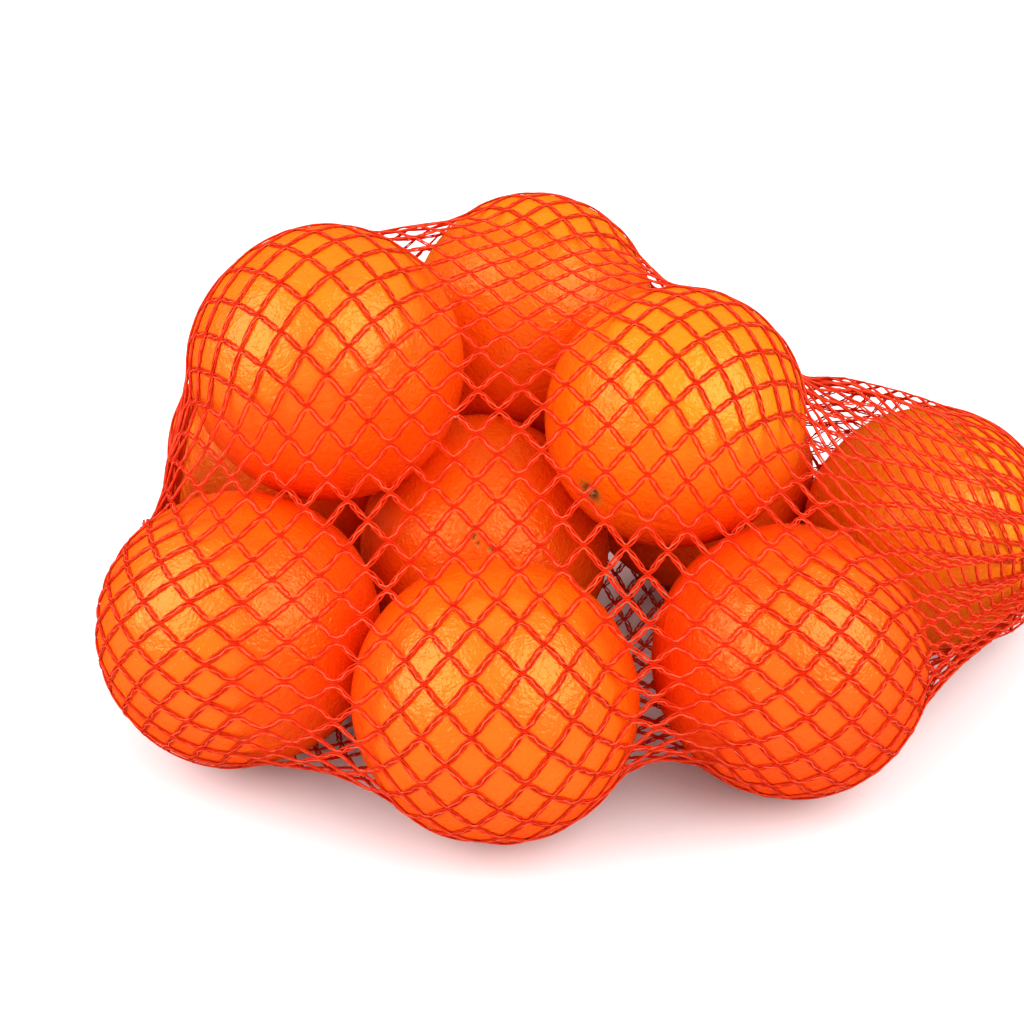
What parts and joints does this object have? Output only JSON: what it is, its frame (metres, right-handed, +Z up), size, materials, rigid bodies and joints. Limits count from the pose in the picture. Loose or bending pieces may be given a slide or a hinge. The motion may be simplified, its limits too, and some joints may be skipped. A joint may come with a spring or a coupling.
{
  "type": "net of oranges",
  "caption": "Oranges in a tight knitted red net tube, lying on its side, each end gathered in a metal clip; food that is lifted, carried and set down whole.",
  "frame": {"origin": "on the table, under the middle of the whole thing", "axes": "+Z up, +X along the net tube towards the end with the single narrow orange, +Y away from the shown front"},
  "size_m": [0.3432, 0.2152, 0.1447],
  "materials": {
    "orange_peel": "waxy, finely dimpled fruit peel",
    "net_strand": "knitted plastic thread, satin",
    "clip_metal": "satin, crimped"
  },
  "bodies": {
    "root": {"filled_net": "orange_peel", "left_tail": "net_strand", "left_clip": "clip_metal", "right_tail": "net_strand", "right_clip": "clip_metal"}
  },
  "joints": []
}
